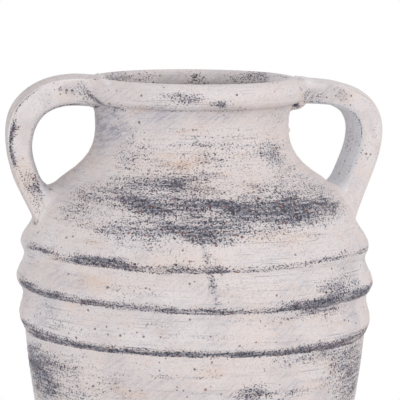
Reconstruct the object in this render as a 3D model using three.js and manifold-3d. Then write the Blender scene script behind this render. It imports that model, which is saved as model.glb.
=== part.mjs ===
// Whitewashed terracotta vase with a rolled rim, three turned ridges and two strap handles.
// Millimetres, +Z up. The origin is the centre of the flat base, and the handles lie along X.
// The pot is built as a potter builds it: a lower and an upper section thrown apart and joined
// under the lowest ridge, a roll of clay folded over the neck, and two straps luted on with slip.

import * as THREE from "three";
import { mergeVertices } from "three/addons/utils/BufferGeometryUtils.js";
import Module from "manifold-3d";

const wasm = await Module();
wasm.setup();

// Walls and joints
const wallThickness = 8.5;
const slipGap = 0.3; // fired slip between two joined pieces
const seamRadius = 136.2; // outside of both sections where they join
const tongueHeight = 3; // tongue under the upper wall, in a groove in the lower wall
const tongueWidth = 5;

// Lower thrown section
const lowerHeight = 217.3; // from the table to the crease under the lowest ridge
const footRadius = 88;
const footRounding = 5;
const flankBulge = 14; // how far the flank's curve is pulled outside a straight cone
const floorThickness = 12;
const innerFootRounding = 14;

// Upper thrown section, in heights above the seam
const upperHeight = 186.7;
const bellyPull = [4.5, 59.5]; // outside the seam, and up: the belly's curve bends towards it
const domePull = [0.7, 100.8]; // the same for the shoulder's dome
const turnIn = 36.9; // where the dome turns into the neck's hollow, inside the seam
const turnHeight = 125.8;
const hollowReach = 0.726; // how far the hollow carries on the dome's slope, as a share of it
const neckRadius = 79; // outside of the neck at its top
const neckPull = [2.6, 24.9]; // inside the top of the neck, and below it

// Turned ridges, lowest first: each swells slowly from above and is undercut below its crest
const ridgeProud = [3.8, 5.1, 4.6];
const lowestCrest = 11.3; // above the seam
const ridgePitch = 30.3;
const ridgeRise = 18; // from the crest up to where the ridge fades out
const ridgeFall = 12.3; // from the crest down to the dip under it
const undercutPower = [1, 2, 2]; // of the cosine below each crest, where 1 ends in a sharp crease

// Rolled rim, folded over the top of the neck
const rimRise = 16; // crest above the top of the neck
const rimOverlap = 4; // how far the roll hangs down over the neck
const rimOut = 9.3; // outermost, outside the neck
const rimCrestIn = 1; // crest, inside the neck's outer wall
const rimInside = 9; // how far its round inside reaches below the crest
const rollPowers = [2.6, 1.9, 2.2]; // superellipses of its underside, its outside and its inside
const lipThickness = 8.2; // from the neck's outer wall to the mouth

// Strap handles, pulled by hand: each strap's own bend, thickness and place round the pot
const leftHandle = {
  crownDrop: 10.2, // the middle of the strap below the rim's crest, where it stops climbing
  crownOut: 14.9, // and that place outside the neck
  reachDrop: 52, // the middle of the strap below the rim's crest, where it is furthest out
  reachOut: 2.5, // and that place outside the seam
  rootThickness: 23.5,
  rootTaper: [0.39, 0.6], // shares of its length between which the root thins to the strap
  thickness: 19.5,
  sweepDegrees: 3.9, // how far the strap sits behind the middle of the pot
};
const rightHandle = {
  crownDrop: 13,
  crownOut: 15.9,
  reachDrop: 44.6,
  reachOut: 10,
  rootThickness: 19.8,
  rootTaper: [0.37, 0.47],
  thickness: 21.6,
  sweepDegrees: 5.1,
};
const rootDepth = 12; // how deep the straps are let into the rim before they are cut to it
const rootDip = 3; // of the strap's middle line at that depth
const bendPower = 2.35; // of the superellipse from the crown to the furthest reach
const footInset = 26.1; // how far the lower arm swings back in to the shoulder
const footRun = 89.7; // height over which it does
const footLift = 75; // the strap's end, above the seam
const footSplay = 8; // extra width where the strap meets the shoulder
const splayFrom = 0.72; // share of its length from which it widens
const strapWidth = 46;
const sectionPower = 4; // of the superellipse across the strap, between an oval and a box

// Lump of luting clay squeezed out under the right handle's upper root, on the front
const wadRadii = [9.5, 9, 5.5];
const wadOut = 4.5; // its middle, outside the neck
const wadTuck = 3; // and behind the strap's front edge
const wadDrop = 1.5; // and below the rim's hanging edge

// Hand-thrown irregularity of the whole pot: the neck leans, and the ridges and rim run out of level
const neckLean = 2; // towards the left handle
const leanFrom = 80; // above the seam, where the lean starts
const leanFullBelow = 45; // below the top of the neck, where it is full
const leanFadeBelow = 15; // below the top of the neck, where it starts to fade towards the rim
const ridgeTilt = 0.0185; // drop of the ridges per millimetre towards the right handle
const neckTilt = 0.009; // drop of the neck and the rim
const tiltFrom = 65; // above the table, where the tilt starts
const tiltChangeFrom = 45; // above the seam, where the ridges' tilt passes into the neck's
const tiltChangeTo = 125;

// Facets
const turns = 52;
const footSteps = 3;
const innerFootSteps = 2;
const flankSteps = 10;
const bellySteps = 26;
const shoulderSteps = 20;
const innerBellySteps = 6;
const innerShoulderSteps = 10;
const rollSteps = 5;
const strapSides = 16;
const strapRings = 26;
const bendSteps = 5;
const armSteps = 4;
const wadSides = 14;
const wadRings = 9;

const seamZ = lowerHeight;
const neckTopZ = seamZ + upperHeight;
const rimFootZ = neckTopZ - rimOverlap;
const rimTopZ = neckTopZ + rimRise;
const rimCrestRadius = neckRadius - rimCrestIn;
const mouthRadius = neckRadius - lipThickness;
const lapRadius = neckRadius + slipGap * 2;

// How far round the pot a strap is turned towards the back.
function sweepOf({ sweepDegrees }) {
  return THREE.MathUtils.degToRad(sweepDegrees);
}

// Smooth ramp from 0 at a to 1 at b, for either order of a and b.
function ramp(value, a, b) {
  const t = Math.min(1, Math.max(0, (value - a) / (b - a)));
  return t * t * (3 - 2 * t);
}

// Quarter of a superellipse about a centre, from above or below it (height's sign) to beside it.
function quarter(x, z, width, height, power, steps) {
  const points = [];
  for (let i = 0; i <= steps; i++) {
    const angle = (Math.PI / 2) * (i / steps);
    const across = Math.sin(angle) ** (2 / power);
    const up = Math.cos(angle) ** (2 / power);
    points.push(new THREE.Vector2(x + width * across, z + height * up));
  }
  return points;
}

// A profile moved sideways by distance: away from the pot's axis when positive.
function offsetProfile(points, distance) {
  return points.map((point, i) => {
    const before = points[Math.max(0, i - 1)];
    const after = points[Math.min(points.length - 1, i + 1)];
    const along = after.clone().sub(before).normalize();
    return point.clone().add(new THREE.Vector2(along.y, -along.x).multiplyScalar(distance));
  });
}

// Moves a geometry's vertices as the thrown pot itself leans and runs out of level.
function handThrown(geometry) {
  const position = geometry.getAttribute("position");
  for (let i = 0; i < position.count; i++) {
    const x = position.getX(i);
    const z = position.getZ(i);
    const leaning = ramp(z, seamZ + leanFrom, neckTopZ - leanFullBelow);
    const lean = neckLean * leaning * ramp(z, rimTopZ, neckTopZ - leanFadeBelow);
    const onRidges = ramp(z, seamZ + tiltChangeTo, seamZ + tiltChangeFrom);
    const tilt = (neckTilt + (ridgeTilt - neckTilt) * onRidges) * ramp(z, tiltFrom, seamZ);
    position.setXYZ(i, x - lean, position.getY(i), z - tilt * x);
  }
  return geometry;
}

// Thrown solid of revolution about Z, from a profile that runs upwards on its outside.
function revolve(profile) {
  return handThrown(new THREE.LatheGeometry(profile, turns).rotateX(Math.PI / 2));
}

// The flank's outside, from the rounded foot up to the seam.
function flankPoints() {
  const flank = new THREE.QuadraticBezierCurve(
    new THREE.Vector2(footRadius, footRounding),
    new THREE.Vector2((footRadius + seamRadius) / 2 + flankBulge, (footRounding + seamZ) / 2),
    new THREE.Vector2(seamRadius, seamZ),
  );
  return flank.getPoints(flankSteps);
}

// The upper section's outside without its ridges: so many steps up the belly, so many above it.
function upperPoints(onBelly, above) {
  const dome = [seamRadius + domePull[0], seamZ + domePull[1]];
  const turn = [seamRadius - turnIn, seamZ + turnHeight];
  const hollow = turn.map((value, i) => value + (value - dome[i]) * hollowReach);
  const line = new THREE.Path().moveTo(seamRadius, seamZ);
  line.bezierCurveTo(seamRadius + bellyPull[0], seamZ + bellyPull[1], ...dome, ...turn);
  line.bezierCurveTo(...hollow, neckRadius - neckPull[0], neckTopZ - neckPull[1], neckRadius, neckTopZ);
  const belly = (lowestCrest + ridgePitch * 2 + ridgeRise) / line.getLength();
  const points = [];
  for (let i = 0; i < onBelly; i++) points.push(line.getPoint((belly * i) / onBelly));
  for (let i = 0; i <= above; i++) points.push(line.getPoint(belly + ((1 - belly) * i) / above));
  return points;
}

// How far the turned ridges stand out of the wall at a height above the seam.
function ridgeAt(height) {
  return ridgeProud.reduce((sum, proud, i) => {
    const above = height - (lowestCrest + i * ridgePitch);
    if (above >= 0) return sum + proud * Math.cos((Math.PI / 2) * Math.min(1, above / ridgeRise)) ** 2;
    const fall = i === 0 ? lowestCrest : ridgeFall;
    return sum + proud * Math.cos((Math.PI / 2) * Math.min(1, -above / fall)) ** undercutPower[i];
  }, 0);
}

// The upper section's outside with its ridges.
function ridgedPoints() {
  const points = upperPoints(bellySteps, shoulderSteps);
  return points.map((p) => new THREE.Vector2(p.x + ridgeAt(p.y - seamZ), p.y));
}

// The tongue's outline across the wall at the seam, from inside to outside, at a given level.
function tongueOutline(level) {
  const middle = seamRadius - wallThickness / 2;
  return [
    new THREE.Vector2(middle - tongueWidth / 2, level),
    new THREE.Vector2(middle, level - tongueHeight),
    new THREE.Vector2(middle + tongueWidth / 2, level),
  ];
}

// Rounded foot, flank, grooved lip, inner wall and floor.
function lowerBody() {
  const lip = seamZ - slipGap / 2;
  const foot = quarter(footRadius - footRounding, footRounding, footRounding, -footRounding, 2, footSteps);
  const outside = flankPoints().slice(1);
  outside[outside.length - 1].y = lip;
  const round = innerFootRounding;
  const innerFoot = quarter(footRadius - round, floorThickness + round, round, -round, 2, innerFootSteps);
  const wall = offsetProfile(flankPoints(), -wallThickness);
  const inside = wall.filter((p) => p.y > floorThickness + round && p.y < lip - tongueHeight);
  return revolve([
    new THREE.Vector2(0, 0),
    ...foot,
    ...outside,
    ...tongueOutline(lip).reverse(),
    new THREE.Vector2(seamRadius - wallThickness, lip),
    ...inside.reverse(),
    ...innerFoot.reverse(),
    new THREE.Vector2(0, floorThickness),
  ]);
}

// Ridged belly, shoulder and neck, with a tongue under it that fits the lower section's groove.
function upperBody() {
  const foot = seamZ + slipGap / 2;
  const outside = ridgedPoints();
  outside[0].y = foot;
  const wall = upperPoints(innerBellySteps, innerShoulderSteps);
  const inside = offsetProfile(wall, -wallThickness);
  inside[0].set(seamRadius - wallThickness, foot);
  inside[inside.length - 1].set(mouthRadius, neckTopZ);
  return revolve([...tongueOutline(foot), ...outside, ...inside.reverse(), tongueOutline(foot)[0]]);
}

// The roll's outside, from its hanging edge over the crest to the mouth.
function rollPoints() {
  const middle = (rimFootZ + rimTopZ) / 2;
  const half = rimTopZ - middle;
  const out = rimCrestIn + rimOut;
  const under = quarter(rimCrestRadius, middle, out, -half, rollPowers[0], rollSteps);
  const over = quarter(rimCrestRadius, middle, out, half, rollPowers[1], rollSteps);
  const inwards = mouthRadius - rimCrestRadius;
  const inner = quarter(rimCrestRadius, rimTopZ - rimInside, inwards, rimInside, rollPowers[2], rollSteps);
  return [...under.filter((p) => p.x > lapRadius), ...over.reverse().slice(1), ...inner.slice(1)];
}

// Roll of clay seated on the neck's top and lapped over its outside.
function rim() {
  const seat = neckTopZ + slipGap;
  const inner = new THREE.Vector2(mouthRadius, seat);
  const step = [new THREE.Vector2(lapRadius, seat), new THREE.Vector2(lapRadius, rimFootZ)];
  return revolve([inner, ...step, ...rollPoints(), inner.clone()]);
}

// A three.js geometry as a manifold-3d solid.
function toSolid(geometry) {
  const bare = new THREE.BufferGeometry().setAttribute("position", geometry.getAttribute("position"));
  bare.setIndex(geometry.index);
  const merged = mergeVertices(bare, 1e-4);
  const vertProperties = merged.getAttribute("position").array;
  const triVerts = new Uint32Array(merged.index.array);
  return new wasm.Manifold(new wasm.Mesh({ numProp: 3, vertProperties, triVerts }));
}

// A manifold-3d solid as a three.js geometry.
function toGeometry(solid) {
  const mesh = solid.getMesh();
  const geometry = new THREE.BufferGeometry();
  geometry.setAttribute("position", new THREE.BufferAttribute(new Float32Array(mesh.vertProperties), 3));
  return geometry.setIndex(new THREE.BufferAttribute(mesh.triVerts, 1));
}

// The pot's outside from the seam to the rim, filled and grown by a gap, to cut what is luted on.
function outsideSolid(gap) {
  const wall = offsetProfile(ridgedPoints(), gap);
  const roll = offsetProfile(rollPoints(), gap).filter((p) => p.x > rimCrestRadius - rimCrestIn);
  const filledWall = [new THREE.Vector2(0, seamZ), ...wall, new THREE.Vector2(0, neckTopZ)];
  const under = [0, lapRadius].map((radius) => new THREE.Vector2(radius, rimFootZ - gap));
  const filledRoll = [...under, ...roll, new THREE.Vector2(0, rimTopZ)];
  return toSolid(revolve(filledWall)).add(toSolid(revolve(filledRoll)));
}

// Middle line of a strap, as radius and height: out of the rim, over the crown, down to its foot.
function strapMiddle({ crownDrop, crownOut, reachDrop, reachOut }) {
  const crown = new THREE.Vector2(neckRadius + crownOut, rimTopZ - crownDrop);
  const reach = new THREE.Vector2(seamRadius + reachOut, rimTopZ - reachDrop);
  const start = new THREE.Vector2(rimCrestRadius - rootDepth, crown.y - rootDip);
  const climb = new THREE.Vector2((start.x + crown.x) / 2, crown.y - rootDip / 3);
  const width = reach.x - crown.x;
  const points = [start, climb, ...quarter(crown.x, reach.y, width, crown.y - reach.y, bendPower, bendSteps)];
  for (let i = 1; i <= armSteps; i++) {
    const z = reach.y + ((seamZ + footLift - reach.y) * i) / armSteps;
    points.push(new THREE.Vector2(reach.x - footInset * ramp(z, reach.y, reach.y - footRun), z));
  }
  return points;
}

// Closed strap of superellipse sections along a handle's middle line; side is 1 for +X and -1 for -X.
function strap(side, sizes, grow) {
  const line = strapMiddle(sizes).map((p) => new THREE.Vector3(side * p.x, 0, p.y));
  const middle = new THREE.CatmullRomCurve3(line, false, "centripetal");
  const across = new THREE.Vector3(0, side, 0);
  const positions = [];
  for (let ring = 0; ring <= strapRings; ring++) {
    const share = ring / strapRings;
    const centre = middle.getPointAt(share);
    const outwards = middle.getTangentAt(share).cross(across).normalize();
    const [taperFrom, taperTo] = sizes.rootTaper;
    const root = (sizes.rootThickness - sizes.thickness) * ramp(share, taperTo, taperFrom);
    const thick = sizes.thickness + root;
    const wide = strapWidth + footSplay * ramp(share, splayFrom, 1);
    for (let k = 0; k < strapSides; k++) {
      const angle = ((k + 0.5) * 2 * Math.PI) / strapSides;
      const c = Math.sign(Math.cos(angle)) * Math.abs(Math.cos(angle)) ** (2 / sectionPower);
      const s = Math.sign(Math.sin(angle)) * Math.abs(Math.sin(angle)) ** (2 / sectionPower);
      const point = centre.clone().addScaledVector(outwards, (thick / 2 + grow) * c);
      point.addScaledVector(across, (wide / 2 + grow) * s);
      positions.push(...point.toArray());
    }
  }
  return toSolid(handThrown(loft(positions, strapRings + 1, strapSides).rotateZ(side * sweepOf(sizes))));
}

// Closed geometry from rings of points, with flat ends.
function loft(positions, rings, sides) {
  const faces = [];
  for (let ring = 0; ring < rings - 1; ring++) {
    for (let k = 0; k < sides; k++) {
      const a = ring * sides + k;
      const b = ring * sides + ((k + 1) % sides);
      faces.push(a, a + sides, b, b, a + sides, b + sides);
    }
  }
  const last = (rings - 1) * sides;
  for (let k = 1; k < sides - 1; k++) {
    faces.push(0, k, k + 1, last, last + k + 1, last + k);
  }
  const geometry = new THREE.BufferGeometry();
  geometry.setAttribute("position", new THREE.Float32BufferAttribute(positions, 3));
  return geometry.setIndex(faces);
}

// Handle with its two ends cut to the pot's outside, a layer of slip away from it.
function handle(side, sizes) {
  return toGeometry(strap(side, sizes, 0).subtract(outsideSolid(slipGap)));
}

// Squeezed lump that fills the corner between the right handle, the rim and the neck.
function lutingWad() {
  const out = neckRadius + wadOut;
  const strapFront = out * Math.tan(sweepOf(rightHandle)) - strapWidth / 2;
  const lump = new THREE.SphereGeometry(1, wadSides, wadRings);
  lump.scale(...wadRadii).translate(out, strapFront + wadTuck, rimFootZ - wadDrop);
  const around = outsideSolid(slipGap).add(strap(1, rightHandle, slipGap));
  return toGeometry(toSolid(handThrown(lump)).subtract(around));
}

// Limewashed terracotta, worn to the dark underlayer in places.
function whitewashedClay(colour) {
  return new THREE.MeshStandardMaterial({ color: colour, roughness: 0.92, metalness: 0 });
}

const vase = new THREE.Group();

function addPiece(name, geometry, colour) {
  const mesh = new THREE.Mesh(geometry, whitewashedClay(colour));
  mesh.name = name;
  vase.add(mesh);
}

addPiece("lower_body", lowerBody(), "#cfc6c4");
addPiece("upper_body", upperBody(), "#d8d0cf");
addPiece("rim", rim(), "#d9d1d0");
addPiece("handle_left", handle(-1, leftHandle), "#d6cdcc");
addPiece("handle_right", handle(1, rightHandle), "#d6cdcc");
addPiece("luting_wad", lutingWad(), "#c9bdb9");

export default vase;
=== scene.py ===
"""Whitewashed terracotta vase with a rolled rim, three turned ridges and two strap handles.

Metres, +Z up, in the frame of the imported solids: the vase stands on z = 0 and its handles lie along X.
The clay is shaped as it was thrown and luted. Its finish is a dark stain under limewash, rubbed back
while it was damp, so that the stain stays in the pits and under the ridges.
"""

import math
from functools import partial

import bmesh
import bpy
from bpy.props import FloatProperty, FloatVectorProperty, IntProperty, PointerProperty
from mathutils import Matrix, Vector, noise
from mathutils.bvhtree import BVHTree


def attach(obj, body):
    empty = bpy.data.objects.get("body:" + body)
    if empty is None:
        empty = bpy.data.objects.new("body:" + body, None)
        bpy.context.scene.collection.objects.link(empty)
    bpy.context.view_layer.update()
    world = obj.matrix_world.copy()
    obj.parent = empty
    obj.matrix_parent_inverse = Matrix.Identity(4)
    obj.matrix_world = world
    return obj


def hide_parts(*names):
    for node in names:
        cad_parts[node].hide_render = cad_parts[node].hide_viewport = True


bl_info = {
    "name": "Whitewashed Terracotta Vase",
    "version": (1, 0, 0),
    "blender": (4, 5, 0),
    "location": "View3D > Sidebar > Vase",
    "description": "Builds a two-handled terracotta vase, its limewash and a plain studio",
    "category": "Object",
}

MM = 0.001
SLIP = 0.3 * MM  # between the rim's seat and the top of the neck
LAP = 0.6 * MM  # how far outside the neck the rim's hanging edge starts

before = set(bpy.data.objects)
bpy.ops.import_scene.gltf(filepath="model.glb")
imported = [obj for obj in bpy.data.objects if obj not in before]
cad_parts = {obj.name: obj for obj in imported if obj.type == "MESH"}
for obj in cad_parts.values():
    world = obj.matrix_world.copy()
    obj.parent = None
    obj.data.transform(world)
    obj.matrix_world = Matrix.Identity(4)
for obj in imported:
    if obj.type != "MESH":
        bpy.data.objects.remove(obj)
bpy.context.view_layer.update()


def linear(hex_colour):
    """An sRGB hex colour as the linear RGBA that the shaders use."""
    channels = [int(hex_colour[i : i + 2], 16) / 255 for i in (1, 3, 5)]
    return [c / 12.92 if c <= 0.04045 else ((c + 0.055) / 1.055) ** 2.4 for c in channels] + [1.0]


def millimetres(name, description, *values):
    """A property for a length, or for several, written in millimetres and held in metres."""
    shared = {"name": name, "description": description, "unit": "LENGTH", "precision": 4}
    if len(values) == 1:
        return FloatProperty(default=values[0] * MM, **shared)
    return FloatVectorProperty(size=len(values), default=[v * MM for v in values], **shared)


def colour(name, description, hex_colour):
    """A property for a colour, written as an sRGB hex value."""
    return FloatVectorProperty(
        name=name, description=description, size=4, subtype="COLOR", default=linear(hex_colour)
    )


class WallSizes(bpy.types.PropertyGroup):
    """The two thrown sections, from the table to the top of the neck."""

    seam_radius: millimetres("Seam radius", "Outside of both sections where they join", 136.2)
    lower_height: millimetres("Lower height", "From the table to the crease under the lowest ridge", 217.3)
    foot_radius: millimetres("Foot radius", "Outside of the foot", 88)
    foot_rounding: millimetres("Foot rounding", "Radius of the foot's edge", 5)
    flank_bulge: millimetres("Flank bulge", "How far the flank's curve is pulled outside a cone", 14)
    thickness: millimetres("Wall thickness", "Of both sections", 8.5)
    floor: millimetres("Floor thickness", "Of the floor", 12)
    inner_rounding: millimetres("Inner rounding", "Where the floor meets the wall", 14)
    upper_height: millimetres("Upper height", "From the crease to the top of the neck", 186.7)
    belly_pull: millimetres("Belly pull", "Where the belly's curve bends to, from the seam", 4.5, 59.5)
    dome_pull: millimetres("Dome pull", "Where the shoulder's curve bends to", 0.7, 100.8)
    turn: millimetres("Turn", "Where the dome turns into the neck: inside the seam, above it", 36.9, 125.8)
    neck_radius: millimetres("Neck radius", "Outside of the neck at its top", 79)
    neck_pull: millimetres("Neck pull", "Where the neck's curve bends to, from its top", 2.6, 24.9)
    hollow_reach: FloatProperty(
        name="Hollow reach", description="How far the hollow carries on the dome's slope", default=0.726
    )


class RidgeSizes(bpy.types.PropertyGroup):
    """The three turned ridges, lowest first."""

    proud: millimetres("Proud", "How far each ridge stands out of the wall", 3.8, 5.1, 4.6)
    lowest: millimetres("Lowest crest", "Above the seam", 11.3)
    pitch: millimetres("Pitch", "From crest to crest", 30.3)
    rise: millimetres("Rise", "From a crest up to where the ridge fades out", 18)
    fall: millimetres("Fall", "From a crest down to the dip under it", 12.3)


class RimSizes(bpy.types.PropertyGroup):
    """The roll of clay folded over the neck."""

    rise: millimetres("Rise", "Crest above the top of the neck", 16)
    overlap: millimetres("Overlap", "How far the roll hangs down over the neck", 4)
    out: millimetres("Out", "Outermost, outside the neck", 9.3)
    crest_in: millimetres("Crest in", "Crest, inside the neck's outer wall", 1)
    inside: millimetres("Inside", "How far its round inside reaches below the crest", 9)
    lip: millimetres("Lip", "From the neck's outer wall to the mouth", 8.2)


class StrapSizes(bpy.types.PropertyGroup):
    """Both strap handles. A pair of values is for the left strap and the right one."""

    crown_drop: millimetres("Crown drop", "Middle of the strap's top below the rim's crest", 10.2, 12.3)
    crown_out: millimetres("Crown out", "Where the strap bends down, outside the neck", 14.9, 15.9)
    reach_drop: millimetres("Reach drop", "Where it is furthest out, below the rim's crest", 52, 44.6)
    reach_out: millimetres("Reach", "Middle of the strap there, outside the seam", 2.5, 10)
    root_thickness: millimetres("Root thickness", "Where it leaves the rim", 23.5, 19.8)
    thickness: millimetres("Thickness", "Of the strap", 19.5, 21.6)
    root_depth: millimetres("Root depth", "How deep the strap is let into the rim", 12)
    root_dip: millimetres("Root dip", "Of the middle line at that depth", 3, -2.5)
    root_cut: millimetres("Root cut", "Where the root ends in the rim, inside the crest", 0)
    foot_inset: millimetres("Foot inset", "How far the lower arm swings in to the shoulder", 26.1, 30.5)
    foot_run: millimetres("Foot run", "Height over which it does", 89.7)
    foot_lift: millimetres("Foot lift", "The strap's end above the seam", 75)
    foot_splay: millimetres("Foot splay", "Extra width where the strap meets the shoulder", 8)
    width: millimetres("Width", "Of the strap", 46)
    arris: millimetres("Arris", "How far the bead along the left strap's corner stands out", 0.5)
    taper_from: FloatVectorProperty(
        name="Taper from",
        description="Share of the length where the root starts to thin",
        size=2,
        default=(0.39, 0.37),
    )
    taper_to: FloatVectorProperty(
        name="Taper to", description="Share of the length where it has thinned", size=2, default=(0.6, 0.47)
    )
    bend_power: FloatProperty(name="Bend power", description="Superellipse of the bend", default=2.35)
    splay_from: FloatProperty(
        name="Splay from", description="Share of the length where it widens", default=0.72
    )
    sweep: FloatVectorProperty(
        name="Sweep",
        description="How far each strap sits behind the middle",
        size=2,
        unit="ROTATION",
        default=(math.radians(3.9), math.radians(5.1)),
    )


class LumpSizes(bpy.types.PropertyGroup):
    """The lump of luting clay under the right handle's upper root."""

    radii: millimetres("Radii", "Of the lump along X, Y and Z", 8.5, 8, 4.4)
    out: millimetres("Out", "Its middle, outside the neck", 3.8)
    tuck: millimetres("Tuck", "Behind the strap's front edge", 3)
    drop: millimetres("Drop", "Below the rim's hanging edge", 0.5)
    tilt: FloatProperty(
        name="Tilt",
        description="How far its outer end is pressed up",
        unit="ROTATION",
        default=math.radians(28),
    )


class HandWork(bpy.types.PropertyGroup):
    """What the potter's hands leave behind."""

    neck_lean: millimetres("Neck lean", "Towards the left handle", 2)
    ridge_tilt: FloatProperty(
        name="Ridge tilt",
        description="Drop of the ridges per length towards the right handle",
        default=0.0185,
    )
    neck_tilt: FloatProperty(name="Neck tilt", description="Drop of the neck and the rim", default=0.009)
    lumps: millimetres("Lumps", "Slow unevenness of the walls and straps", 0.9)
    throwing: millimetres("Throwing lines", "Depth of the fingers' spiral marks", 0.22)
    smear: millimetres("Smear", "Reach of the clay smeared over the straps' tops", 14)
    side_smear: millimetres("Side smear", "Reach of the clay beside the roots, left and right", 12, 6)
    crease: millimetres("Crease", "Reach of the clay under the straps' roots", 7)
    foot_smear: millimetres("Foot smear", "Reach of the clay round the straps' feet: outside, inside", 8, 15)
    lump_smear: millimetres("Lump smear", "Reach of the clay round the luting lump", 4)
    lap: millimetres("Lap", "Reach of the clay smeared from the rim down the neck", 3)
    turns: IntProperty(name="Turns", description="Steps of each turned piece", default=320)


class WashColours(bpy.types.PropertyGroup):
    """The clay, the stain and the limewash; some of the wash colours also paint light and shade."""

    warm_wash: colour("Warm wash", "Limewash where the clay shows through", "#e5d9d3")
    cool_wash: colour("Cool wash", "Limewash where it lies thick", "#e5dedc")
    # Partly painted light: besides the fresh wash over the joints, this colour paints highlights on the
    # joints' tops, along the left strap's arris and in the smear strokes.
    fresh_wash: colour("Fresh wash", "Limewash smeared on last, with the luting clay", "#f1ecea")
    # Painted light: a pale cool tint for the straps' inner faces, standing in for the cool light in their
    # shade.
    cold_wash: colour("Cold wash", "Limewash inside the straps, where it dried in the shade", "#e6e8ec")
    # Partly painted shade: where the thin marks lie on the neck's left side, under the rim and inside the
    # back of the rim, this grey stands in for shade.
    thin_wash: colour("Thin wash", "Stain seen through thin limewash", "#a3a1ab")
    stain: colour("Stain", "Dark stain left in the pits", "#4b4a53")
    clay: colour("Clay", "Fired clay in scratches and chips", "#7d4d3c")
    ochre: colour("Ochre", "Iron bleeding through the wash", "#dfbb9b")
    bare_clay: colour("Bare clay", "Unwashed inside and base", "#b07a60")


class VaseSettings(bpy.types.PropertyGroup):
    """All sizes and colours."""

    wall: PointerProperty(type=WallSizes)
    ridges: PointerProperty(type=RidgeSizes)
    rim: PointerProperty(type=RimSizes)
    straps: PointerProperty(type=StrapSizes)
    lump: PointerProperty(type=LumpSizes)
    hand: PointerProperty(type=HandWork)
    colours: PointerProperty(type=WashColours)


def ramp(value, start, end):
    """0 at start and 1 at end, smooth in between, for either order of the two."""
    t = min(1.0, max(0.0, (value - start) / (end - start)))
    return t * t * (3 - 2 * t)


def seam_z(vase):
    """Height of the seam between the two sections."""
    return vase.wall.lower_height


def neck_top(vase):
    """Height of the top of the neck, under the rim."""
    return vase.wall.lower_height + vase.wall.upper_height


def rim_top(vase):
    """Height of the rim's crest."""
    return neck_top(vase) + vase.rim.rise


def bezier(points, t):
    """A point of the Bezier curve with these control points."""
    while len(points) > 1:
        points = [a.lerp(b, t) for a, b in zip(points, points[1:])]
    return points[0]


def quarter(centre, width, height, power, steps):
    """Quarter of a superellipse, from above or below its centre to beside it."""
    points = []
    for i in range(steps + 1):
        angle = math.pi / 2 * i / steps
        across = abs(math.sin(angle)) ** (2 / power)
        up = abs(math.cos(angle)) ** (2 / power)
        points.append(Vector((centre[0] + width * across, centre[1] + height * up)))
    return points


def resampled(points, step):
    """The same line with its points about a step apart."""
    lengths = [0.0]
    for a, b in zip(points, points[1:]):
        lengths.append(lengths[-1] + (b - a).length)
    count = max(2, round(lengths[-1] / step))
    line = []
    k = 0
    for i in range(count + 1):
        target = lengths[-1] * i / count
        while k < len(points) - 2 and lengths[k + 1] < target:
            k += 1
        span = max(1e-12, lengths[k + 1] - lengths[k])
        line.append(points[k].lerp(points[k + 1], (target - lengths[k]) / span))
    return line


def offset_line(points, distance):
    """The line moved sideways: away from the pot's axis when the line runs upwards."""
    moved = []
    for i, point in enumerate(points):
        along = points[min(len(points) - 1, i + 1)] - points[max(0, i - 1)]
        along.normalize()
        moved.append(point + Vector((along.y, -along.x)) * distance)
    return moved


def flank_line(vase):
    """The lower section's outside, from the rounded foot up to the seam."""
    wall = vase.wall
    middle = (wall.foot_radius + wall.seam_radius) / 2 + wall.flank_bulge
    controls = [
        Vector((wall.foot_radius, wall.foot_rounding)),
        Vector((middle, (wall.foot_rounding + wall.lower_height) / 2)),
        Vector((wall.seam_radius, wall.lower_height)),
    ]
    return [bezier(controls, i / 200) for i in range(201)]


def upper_line(vase):
    """The upper section's outside without its ridges, from the seam to the top of the neck."""
    wall = vase.wall
    base = Vector((wall.seam_radius, wall.lower_height))
    top = Vector((wall.neck_radius, neck_top(vase)))
    dome = base + Vector(wall.dome_pull)
    turn = base + Vector((-wall.turn[0], wall.turn[1]))
    hollow = turn + (turn - dome) * wall.hollow_reach
    belly = [base, base + Vector(wall.belly_pull), dome, turn]
    neck = [turn, hollow, top - Vector(wall.neck_pull), top]
    line = [bezier(belly, i / 200) for i in range(201)]
    return line + [bezier(neck, i / 200) for i in range(1, 201)]


def ridge_at(vase, height):
    """How far the ridges stand out of the wall at a height above the seam."""
    ridges = vase.ridges
    total = 0.0
    for i, proud in enumerate(ridges.proud):
        above = height - (ridges.lowest + i * ridges.pitch)
        reach = ridges.rise if above >= 0 else (ridges.lowest if i == 0 else ridges.fall)
        power = 1 if i == 0 and above < 0 else 2
        total += proud * math.cos(math.pi / 2 * min(1.0, abs(above) / reach)) ** power
    return total


def thrown(vase, point):
    """A point of the true-turned pot moved as the thrown one leans and runs out of level."""
    hand = vase.hand
    seam = seam_z(vase)
    leaning = ramp(point.z, seam + 80 * MM, neck_top(vase) - 45 * MM)
    lean = hand.neck_lean * leaning * ramp(point.z, rim_top(vase), neck_top(vase) - 15 * MM)
    on_ridges = ramp(point.z, seam + 125 * MM, seam + 45 * MM)
    tilt = (hand.neck_tilt + (hand.ridge_tilt - hand.neck_tilt) * on_ridges) * ramp(point.z, 65 * MM, seam)
    return Vector((point.x - lean, point.y, point.z - tilt * point.x))


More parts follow.
